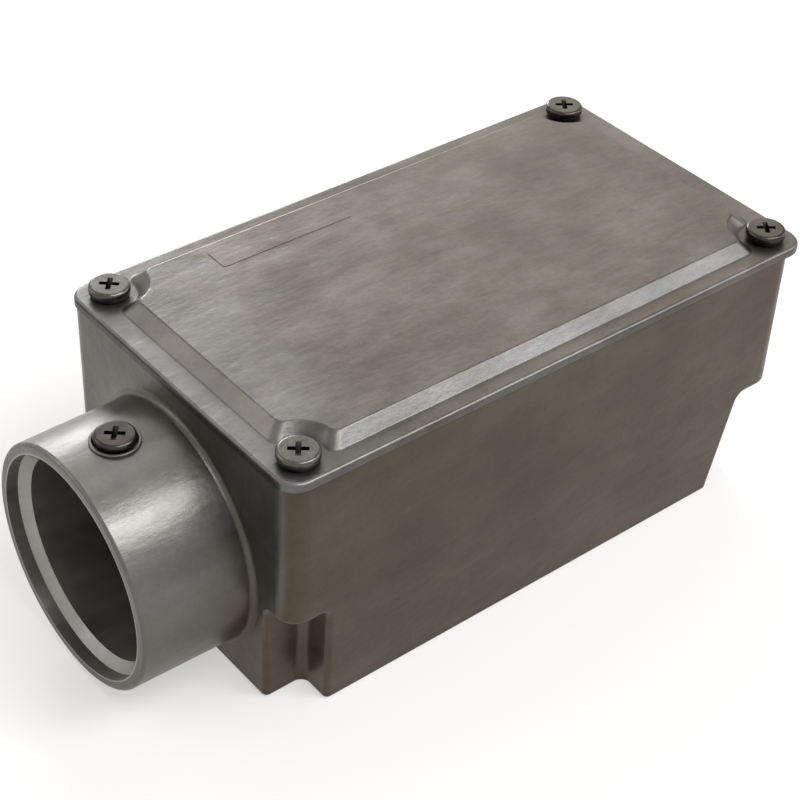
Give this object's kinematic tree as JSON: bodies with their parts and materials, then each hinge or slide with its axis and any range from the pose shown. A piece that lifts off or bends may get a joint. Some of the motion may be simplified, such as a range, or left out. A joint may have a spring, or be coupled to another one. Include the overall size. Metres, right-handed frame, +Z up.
{
  "type": "conduit body",
  "caption": "Cast aluminium conduit body: deep box with notched lower corners, one round set-screw hub for metal conduit, and a gasketed cover with a raised panel.",
  "frame": {"origin": "in the flat underside, below the middle of the cover", "axes": "+X along the box away from the hub, +Z up out of the cover"},
  "size_m": [0.1822, 0.086, 0.0718],
  "materials": {
    "casting": "as cast",
    "rubber": "matte",
    "screw_steel": "zinc plated"
  },
  "bodies": {
    "box": {"body_casting": "casting", "gasket": "rubber"},
    "cover_plate": {"cover": "casting"},
    "screw_1": {"cover_screw_1": "screw_steel"},
    "screw_2": {"cover_screw_2": "screw_steel"},
    "screw_3": {"cover_screw_3": "screw_steel"},
    "screw_4": {"cover_screw_4": "screw_steel"},
    "hub_screw": {"set_screw": "screw_steel"}
  },
  "joints": [
    {"name": "cover_lift", "type": "slide", "parent": "box", "child": "cover_plate", "axis": [0, 0, 1], "range_m": [0, 0.06]},
    {"name": "cover_screw_1_out", "type": "slide", "parent": "cover_plate", "child": "screw_1", "axis": [0, 0, 1], "range_m": [0, 0.02]},
    {"name": "cover_screw_2_out", "type": "slide", "parent": "cover_plate", "child": "screw_2", "axis": [0, 0, 1], "range_m": [0, 0.02]},
    {"name": "cover_screw_3_out", "type": "slide", "parent": "cover_plate", "child": "screw_3", "axis": [0, 0, 1], "range_m": [0, 0.02]},
    {"name": "cover_screw_4_out", "type": "slide", "parent": "cover_plate", "child": "screw_4", "axis": [0, 0, 1], "range_m": [0, 0.02]},
    {"name": "set_screw_in_out", "type": "slide", "parent": "box", "child": "hub_screw", "axis": [0, 0, 1], "range_m": [-0.0014, 0.01]}
  ]
}
